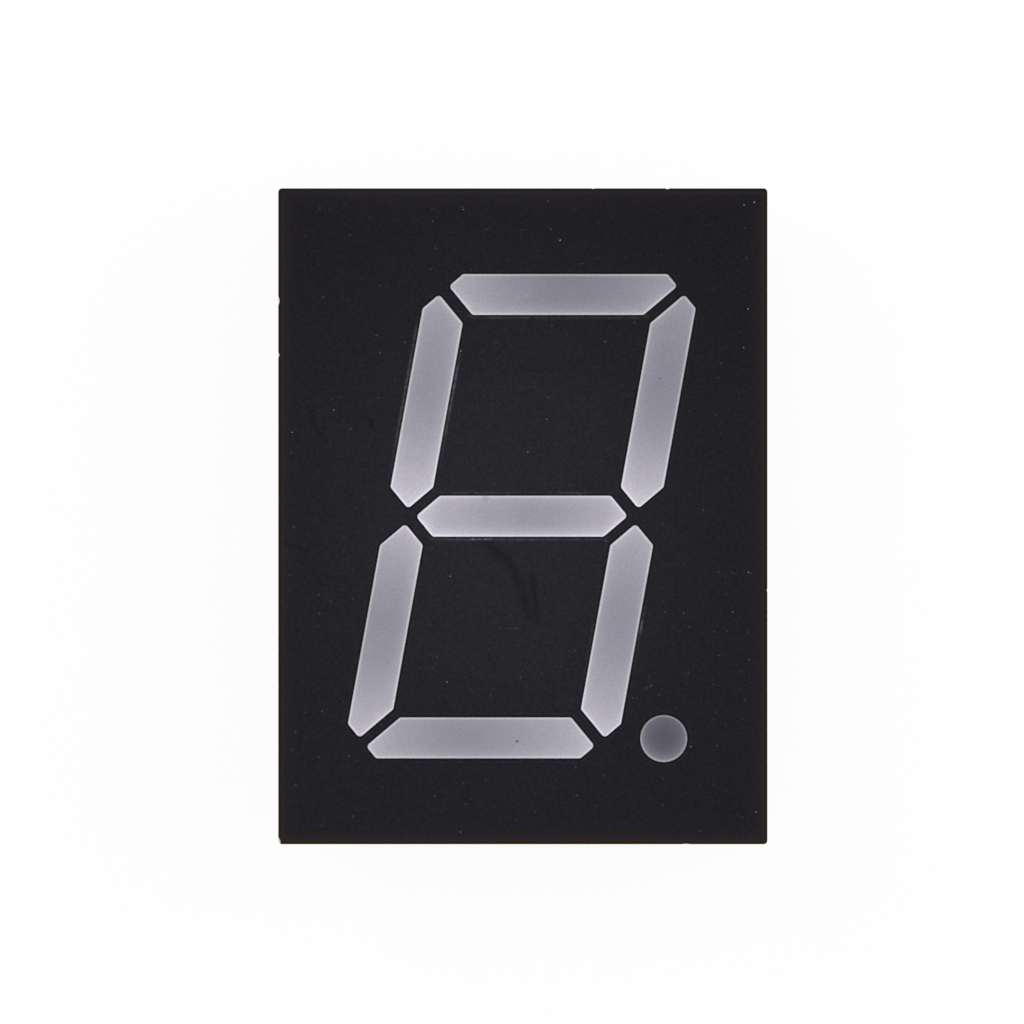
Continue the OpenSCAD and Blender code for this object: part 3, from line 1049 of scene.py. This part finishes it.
# Distances in from an outline at which a diffuser's surface has points, in millimetres
INSETS = [0.03, 0.06, 0.09, 0.12, 0.15, 0.18, 0.24, 0.34, 0.46, 0.64, 0.9, 1.2]
# Dark specks under the epoxy: strength, place and radius in millimetres
SPECKS = [(0.38, (10.77, 10.82), 0.16), (0.75, (-0.44, -17.65), 0.16), (0.18, (-2.95, 1.49), 0.34)]


def diffuser_level(settings, gap):
    """The epoxy's level at a distance in from its edge."""
    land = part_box("segment_a")[1].z
    return land + settings.proud - settings.dip * (1 - np.exp(-gap / DIP_REACH))


def rim_share(gap):
    """How much of the bright edge line there is at a distance in from the edge."""
    return np.exp(-(((gap - RIM_PLACE) / RIM_W) ** 2))


def cast(name, rings, levels, settings, tone_at):
    """A diffuser: a face in its window, and a body that follows the cell down to the board.

    rings are the window, the cell's mouth and its floor, with as many points as each other.
    tone_at gives the painted light and shade at points of the face from their places and distances from the
    edge.
    """
    window, mouth, floor = rings
    normal = inward(window)
    rows = [window]
    for number, inset in enumerate(INSETS):
        stride = 1 if inset < 0.3 else 2
        moved = (window + normal * inset * MM)[number % stride::stride]
        rows.append(moved[edge_distance(moved, window) > KEPT * inset * MM])
    plan = np.concatenate([*rows, window.mean(axis=0)[None]])
    plan = plan[np.sort(np.unique(np.round(plan, 7), axis=0, return_index=True)[1])]
    gap = edge_distance(plan, window)
    gap[:len(window)] = 0
    shell = Shell()
    shell.ring(plan, diffuser_level(settings, gap))
    upper = list(range(len(window)))
    shell.faces = filled(plan, [upper])
    for ring, level in ((window, levels[0]), (mouth, levels[0]), (floor, levels[1])):
        lower = shell.ring(ring, level)
        shell.band(lower, upper)
        upper = lower
    shell.faces.append(upper[::-1])
    hidden = (0, len(shell.points) - len(plan))
    tone = np.pad(tone_at(plan, gap), hidden, constant_values=HIDDEN_TONE)
    return shell.made(name, tone=tone, rim=rim_share(gap))


def diffuser_material(name, settings, deep, tone_split):
    """Milky epoxy whose painted light and shade is in the mesh, with a bluer tint where it is deep."""
    finish = Finish(name)
    tone = finish.carried("tone")
    hue = finish.mix(finish.fade(tone, *tone_split), deep, settings.shallow)
    hue = finish.mix(finish.carried("rim"), hue, settings.rim)
    clouds = finish.fade(finish.noise(0.7, 3), 0.2, 0.8, 0.975, 1.025)
    grain = finish.noise(6.5, 2, 0.6)
    shade = finish.times(clouds, finish.fade(grain, 0.2, 0.8, 0.91, 1.09))
    hue = finish.vector("MULTIPLY", hue, finish.speckle(5.5, 2.0, 0.17, 0.915))
    marks = [(strength, {"Centre": (*place, 0), "Radius": radius}) for strength, place, radius in SPECKS]
    clear = finish.math("MULTIPLY_ADD", finish.masked(spot_mask(), marks), -1.0, 1.0)
    level = finish.times(finish.times(tone, shade), clear)
    finish.set(Base_Color=finish.vector("SCALE", hue, level))
    finish.set(Roughness=finish.fade(grain, 0.2, 0.8, 0.32, 0.44))
    finish.bump(grain, 0.003 * MM)
    return finish.material


class DISPLAY_OT_diffusers(bpy.types.Operator):
    """Seven bars and the decimal point, cast in milky epoxy that just covers the white land"""
    bl_idname = "display.diffusers"
    bl_label = "Diffusers"

    def execute(self, context):
        settings = context.scene.display_diffuser
        material = diffuser_material("diffuser_epoxy", settings, settings.deep, (0.20, 0.44))
        for bar in BARS:
            self.bar(bar, settings, material)
        self.point(settings, diffuser_material("point_epoxy", settings, settings.point, (0.06, 0.30)))
        return {"FINISHED"}

    def bar(self, bar, settings, material):
        node = "segment_" + bar
        low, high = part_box(node)
        mouth = plan_ring(node, high.z)
        window = plan_ring("face_film", FILM_HIGH.z, near=mouth)
        floor = plan_ring(node, low.z)
        along, across = bar_axes(window)
        start = (window @ along).min()
        run = (window @ along).max() - start
        middle = (window @ across).min() / 2 + (window @ across).max() / 2
        first, dark, last, dark_at = BAR_SHADING[bar]
        far_glow, near_glow = BAR_GLOW[bar]

        # Painted light and shade of the cell: darker over the dice, lighter at the ends and the long edges
        def tone_at(points, gap):
            part = (points @ along - start) / run
            rise = np.where(part < dark_at, (dark_at - part) / dark_at, (part - dark_at) / (1 - dark_at))
            ends = np.where(part < dark_at, first, last)
            tone = dark + (ends - dark) * np.clip(rise, 0, 1) ** TONE_POWER
            side = np.clip((points @ across - middle) / GLOW_SPLIT, -1, 1) / 2 + 0.5
            glow = near_glow + (far_glow - near_glow) * side
            # Painted shade: the bright line is dimmer at a bar's lower edge, away from the light above
            lift = RIM_LIFT * (1 - RIM_LOWER_SHADE * (1 - side) * across[1])
            return tone + glow * np.exp(-gap / GLOW_REACH) + lift * rim_share(gap)

        rings = [started(ring, -along) for ring in (window, mouth, floor)]
        if len({len(ring) for ring in rings}) != 1:
            raise RuntimeError("the outlines of " + node + " don't have as many corners as each other")
        rings = divided(rings, settings.step)
        piece = cast("bar_" + bar, rings, (high.z, low.z), settings, tone_at)
        finished(piece, material, "diffuser_epoxy", node)

    def point(self, settings, material):
        low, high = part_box("decimal_point")
        centre = np.array((low + high).xy) / 2
        mouth_r = (high.x - low.x) / 2
        window = plan_ring("face_film", FILM_HIGH.z, near=circle(centre, mouth_r, 64))
        window_r = np.linalg.norm(window - centre, axis=1).max()
        floor_r = np.linalg.norm(plan_ring("decimal_point", low.z) - centre, axis=1).max()
        deep, pale = POINT_TONE

        # Painted light and shade of the point's cell: darker in the middle and to the right and up
        def tone_at(points, gap):
            away = (points - centre) / window_r
            radius = np.linalg.norm(away, axis=1)
            fall = 1 - away @ np.array(POINT_SHADE_FALL)
            return deep + (pale - deep) * radius ** POINT_POWER * fall + POINT_RIM * rim_share(gap)

        rings = [circle(centre, radius, POINT_STEPS) for radius in (window_r, mouth_r, floor_r)]
        piece = cast("point_diffuser", rings, (high.z, low.z), settings, tone_at)
        finished(piece, material, "point_epoxy", "decimal_point")


# ---- Board, copper and potting ----

# Tracks on the board's back: from a pin, through these places, in millimetres, to a plated hole
ROUTES = {
    "pin_1": [(-5.08, -20.4), (-12.2, -13.3), (-12.2, -9.6)],
    "pin_2": [(-2.54, -19.2), (-3.6, -18.1)],
    "pin_3": [(0, -12.0), (0, 12.0)],
    "pin_4": [(2.54, -16.6), (7.2, -11.9), (7.2, -9.2)],
    "pin_5": [(5.08, -20.6), (8.3, -17.4), (10.2, -17.4)],
    "pin_6": [(5.08, 19.9), (12.0, 13.0), (12.0, 9.4)],
    "pin_7": [(2.54, 19.0), (3.2, 18.3)],
    "pin_8": [(0, 19.6), (0, 12.0)],
    "pin_9": [(-2.54, 16.0), (-7.6, 10.9), (-7.6, 9.0)],
    "pin_10": [(-5.08, 20.0), (-11.5, 13.6), (-11.5, 5.5), (-7.4, 1.4), (-3.2, 1.4)],
}


def copper_tree():
    """Flat tracks along the edges of a mesh, and a round pad on each point that has a radius."""
    sockets = {"Routes": "Geometry", "Width": "Float", "Thickness": "Float", "Material": "Material"}
    nodes, given = node_group("copper", "Geometry", **sockets, Geometry="Geometry")
    path = nodes.add("GeometryNodeMeshToCurve", {"Mesh": given["Routes"]}).outputs["Curve"]
    flat = nodes.add("GeometryNodeSetCurveNormal", {"Curve": path}, mode="Z_UP").outputs["Curve"]
    section = {"Width": given["Width"], "Height": given["Thickness"]}
    profile = nodes.add("GeometryNodeCurvePrimitiveQuadrilateral", section).outputs["Curve"]
    sweep = {"Curve": flat, "Profile Curve": profile, "Fill Caps": True}
    tracks = nodes.add("GeometryNodeCurveToMesh", sweep)
    radius = nodes.point_numbers("pad")
    wanted = nodes.add("FunctionNodeCompare", data_type="FLOAT", operation="GREATER_THAN")
    nodes.feed(wanted.inputs[0], radius)
    shape = {"Vertices": 40, "Radius": 1.0, "Depth": given["Thickness"]}
    disc = nodes.add("GeometryNodeMeshCylinder", shape).outputs["Mesh"]
    scale = nodes.add("ShaderNodeCombineXYZ", {"X": radius, "Y": radius, "Z": 1.0}).outputs["Vector"]
    setting = {"Points": given["Routes"], "Selection": wanted.outputs[0], "Instance": disc, "Scale": scale}
    pads = nodes.add("GeometryNodeInstanceOnPoints", setting)
    joined = nodes.add("GeometryNodeJoinGeometry")
    for part in (tracks, pads):
        nodes.feed(joined.inputs[0], part.outputs[0])
    return nodes.painted(joined.outputs[0], given["Material"])


class DISPLAY_OT_board(bpy.types.Operator):
    """The green board with its copper tracks and pads"""
    bl_idname = "display.board"
    bl_label = "Board and copper"

    def execute(self, context):
        settings = context.scene.display_board
        repaint(["circuit_board"], self.laminate(settings))
        copper = self.copper(settings)
        finished(copper, self.copper_material(settings), "board_laminate")
        return {"FINISHED"}

    def laminate(self, settings):
        """Green lacquer over glass cloth, whose weave is two crossed sets of waves."""
        finish = Finish("board_laminate", Roughness=0.3)
        inputs = {"Vector": finish.place, "Scale": 0.45}
        waves = [finish.add("ShaderNodeTexWave", inputs, bands_direction=axis) for axis in "XY"]
        weave = finish.times(*[wave.outputs["Fac"] for wave in waves])
        finish.set(Base_Color=finish.mix(weave, shaded(settings.mask, 0.8), settings.mask))
        finish.bump(weave, 0.01 * MM)
        return finish.material

    def copper(self, settings):
        level = BOARD_LOW.z - settings.copper_h / 2
        points, edges, pads = [], [], []
        for name, place in zip(PINS, PIN_PLACES):
            route = [place] + [Vector(p) * MM for p in ROUTES[name]]
            first = len(points)
            points += [(p.x, p.y, level) for p in route]
            pads += [settings.pad_r] + [0.0] * (len(route) - 2) + [settings.via_r]
            edges += [(first + i, first + i + 1) for i in range(len(route) - 1)]
        inputs = {"Width": settings.track_w, "Thickness": settings.copper_h}
        return grown("copper", points, {"pad": pads}, copper_tree(), inputs, edges)

    def copper_material(self, settings):
        finish = Finish("lacquered_copper", Roughness=0.32)
        stain = finish.noise(0.8, 3)
        lit = tuple(min(1.0, c * 2.4 + 0.07) for c in settings.mask)
        dull = tuple(c * 1.9 + 0.04 for c in settings.mask)
        finish.set(Base_Color=finish.mix(stain, dull, lit))
        return finish.material


# Distances in from the epoxy's border at which its back has points, in millimetres, between them
# along it, the least from a pin's middle for any of them, and the points round a pin
POTTING_INSETS = np.array([0.12, 0.25, 0.42, 0.7, 1.1, 1.7])
POTTING_STEP = 0.8 * MM
PIN_ROOM = 1.2 * MM
HOLE_POINTS = 28
# The rings of points round a pin: their distances out from its hole, and each one's turn from the last
PIN_STEPS = POTTING_INSETS[:5] * MM * 0.6
RING_TURN = 0.1
# The grid of points inside those: how far in it starts, and its number of points across and up
GRID_INSET = 2.4 * MM
GRID_ACROSS = 15
GRID_UP = 21
# Room left at the housing and the pins, and between the epoxy's front and the board
CLEAR = 0.01 * MM
FRONT_ROOM = 0.04 * MM
# How high the epoxy climbs at a pin and how far from it, as shares of what it does at a wall
PIN_CLIMB = 0.7
PIN_REACH = 0.6
# How unevenly the epoxy's back set, and how fast that changes across and up, in radians to a metre
SWAY = 0.02 * MM
SWAY_ACROSS = 400
SWAY_UP = 330
# The collar round a joint: shares of the way from the joint's tip up to the epoxy's front
COLLAR = (0, 0.25, 0.5, 0.75)


class DISPLAY_OT_potting(bpy.types.Operator):
    """Milky epoxy over the board's back, which climbs a little at the walls and at the pins"""
    bl_idname = "display.potting"
    bl_label = "Potting"

    def execute(self, context):
        settings = context.scene.display_potting
        potting = self.pour(settings)
        finished(potting, self.material(settings), "potting_epoxy", "potting")
        return {"FINISHED"}

    def pour(self, settings):
        """The poured block, with its uneven back, its flat front and a collar round each joint."""
        low = np.array(POTTING_LOW.xy) + CLEAR
        high = np.array(POTTING_HIGH.xy) - CLEAR
        corners = oblong(low, high)
        border = divided([corners], POTTING_STEP)[0]
        pins = np.array(PIN_PLACES)
        solder_low, solder_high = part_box("solder_joints")
        pad_r = solder_high.y - pins[:, 1].max()
        hole_r = SHANK_R + CLEAR
        holes = [circle(pin, hole_r, HOLE_POINTS) for pin in pins]
        back = np.concatenate([border, *holes, *self.inner(low, high, pins, hole_r)])
        front = np.concatenate([border, *[circle(pin, pad_r, HOLE_POINTS) for pin in pins]])
        loops = looped([border, *holes])
        at_wall = np.exp(-edge_distance(back, corners) / settings.reach)
        at_pin = PIN_CLIMB * np.exp(-(place_distance(back, pins) - hole_r) / (settings.reach * PIN_REACH))
        rise = settings.climb * (at_wall + at_pin)
        sway = SWAY * np.sin(back[:, 0] * SWAY_ACROSS) * np.sin(back[:, 1] * SWAY_UP + 1)
        front_z = POTTING_HIGH.z - FRONT_ROOM
        shell = Shell()
        shell.ring(back, POTTING_LOW.z - rise + sway)
        top = shell.ring(front, front_z)
        shell.faces = [face[::-1] for face in filled(back, loops)]
        shell.faces += [[top[i] for i in face] for face in filled(front, loops)]
        shell.band(loops[0], [top[i] for i in loops[0]])
        for pin, loop in zip(pins, loops[1:]):
            lower = loop
            for part in COLLAR:
                level = solder_low.z + (front_z - solder_low.z) * part
                collar = circle(pin, hole_r + (pad_r - hole_r) * part ** 2, HOLE_POINTS)
                upper = shell.ring(collar, level)[::-1]
                shell.band(lower, upper)
                lower = upper
            shell.band(lower, [top[i] for i in loop])
        return shell.made("potted_back")

    def inner(self, low, high, pins, hole_r):
        """The back's points inside its border: a grid, rows along the walls and rings round the pins."""
        xs, ys = [
            np.linspace(low[axis] + GRID_INSET, high[axis] - GRID_INSET, count)
            for axis, count in enumerate((GRID_ACROSS, GRID_UP))
        ]
        rows = [oblong(low + step, high - step) for step in POTTING_INSETS * MM]
        rows = [divided([row], POTTING_STEP)[0] for row in rows]
        middle = np.concatenate([[(x, y) for x in xs for y in ys], *rows])
        rings = [
            circle(pin, hole_r + step, HOLE_POINTS, number * RING_TURN)
            for pin in pins
            for number, step in enumerate(PIN_STEPS)
        ]
        return [middle[place_distance(middle, pins) > PIN_ROOM], *rings]

    def material(self, settings):
        finish = Finish("potting_epoxy", Roughness=0.14)
        cloud = finish.noise(0.22, 4, 0.55)
        amber = shaded(settings.colour, 1.02, 0.94, 0.78)
        finish.set(Base_Color=finish.mix(finish.fade(cloud, 0.3, 0.7), settings.colour, amber))
        finish.set(Alpha=finish.fade(cloud, 0.25, 0.75, settings.cover - 0.04, settings.cover + 0.04))
        finish.bump(finish.noise(0.35, 2), 0.03 * MM)
        return finish.material


# ---- Metal ----

class DISPLAY_OT_metal(bpy.types.Operator):
    """Tinned pins, dull solder, amber dice and gold wires"""
    bl_idname = "display.metal"
    bl_label = "Pins, solder, dice and wires"

    def execute(self, context):
        settings = context.scene.display_metal
        nodes = frame["nodes"]
        repaint(PINS, self.tin(settings))
        repaint(["solder_joints"], self.solder(settings))
        repaint([n for n in nodes if n.startswith("bond_wire_")], self.gold(settings))
        repaint([n for n in nodes if n.startswith("die_")], self.die(settings))
        return {"FINISHED"}

    def dulled(self, finish, colour, factor, pattern):
        """Colours a finish, duller where a pattern is strong."""
        finish.set(Base_Color=finish.mix(pattern, colour, shaded(colour, factor)))

    def tin(self, settings):
        """Tin with faint drawing lines along the pin and patches where the dip ran thin."""
        finish = Finish("tinned_pin", Metallic=1.0)
        stretched = finish.vector("MULTIPLY", finish.place, (14.0, 14.0, 1.2))
        patch = finish.noise(1.1, 3)
        self.dulled(finish, settings.tin, 0.82, finish.fade(patch, 0.35, 0.65))
        finish.set(Roughness=finish.fade(patch, 0.3, 0.7, 0.22, 0.42))
        finish.bump(finish.noise(1.0, 3, place=stretched), 0.004 * MM)
        return finish.material

    def solder(self, settings):
        finish = Finish("solder", Metallic=1.0)
        crystals = finish.cells(6.0)["Distance"]
        self.dulled(finish, settings.solder, 0.85, crystals)
        finish.set(Roughness=finish.fade(crystals, 0.0, 0.9, 0.2, 0.4))
        finish.bump(crystals, 0.004 * MM)
        return finish.material

    def gold(self, settings):
        finish = Finish("bond_wire", Metallic=1.0, Roughness=0.2)
        self.dulled(finish, settings.gold, 0.85, finish.noise(20.0, 2))
        return finish.material

    def die(self, settings):
        finish = Finish("led_die", Roughness=0.25)
        sawn = finish.noise(24.0, 2)
        self.dulled(finish, settings.die, 0.7, sawn)
        finish.bump(sawn, 0.002 * MM)
        return finish.material


# ---- Panel and registration ----

OPERATORS = (
    DISPLAY_OT_stage,
    DISPLAY_OT_housing,
    DISPLAY_OT_film,
    DISPLAY_OT_dust,
    DISPLAY_OT_diffusers,
    DISPLAY_OT_board,
    DISPLAY_OT_potting,
    DISPLAY_OT_metal,
)


class DISPLAY_PT_panel(bpy.types.Panel):
    """The display's pieces and their settings"""
    bl_idname = "DISPLAY_PT_panel"
    bl_label = "Seven segment display"
    bl_space_type = "VIEW_3D"
    bl_region_type = "UI"
    bl_category = "Display"

    def draw(self, context):
        for operator in OPERATORS:
            self.layout.operator(operator.bl_idname)
        for name, group in SETTINGS.items():
            box = self.layout.box()
            box.label(text=group.__doc__)
            for key in group.__annotations__:
                box.prop(getattr(context.scene, name), key)


def register():
    for group in SETTINGS.values():
        bpy.utils.register_class(group)
    for name, group in SETTINGS.items():
        setattr(bpy.types.Scene, name, bpy.props.PointerProperty(type=group))
    for cls in (*OPERATORS, DISPLAY_PT_panel):
        bpy.utils.register_class(cls)


def unregister():
    for cls in (DISPLAY_PT_panel, *reversed(OPERATORS)):
        bpy.utils.unregister_class(cls)
    for name in SETTINGS:
        delattr(bpy.types.Scene, name)
    for group in reversed(list(SETTINGS.values())):
        bpy.utils.unregister_class(group)


def main():
    register()
    bpy.ops.display.stage()
    bpy.ops.display.housing()
    bpy.ops.display.film()
    bpy.ops.display.dust()
    bpy.ops.display.diffusers()
    bpy.ops.display.board()
    bpy.ops.display.potting()
    bpy.ops.display.metal()


if __name__ == "__main__":
    main()
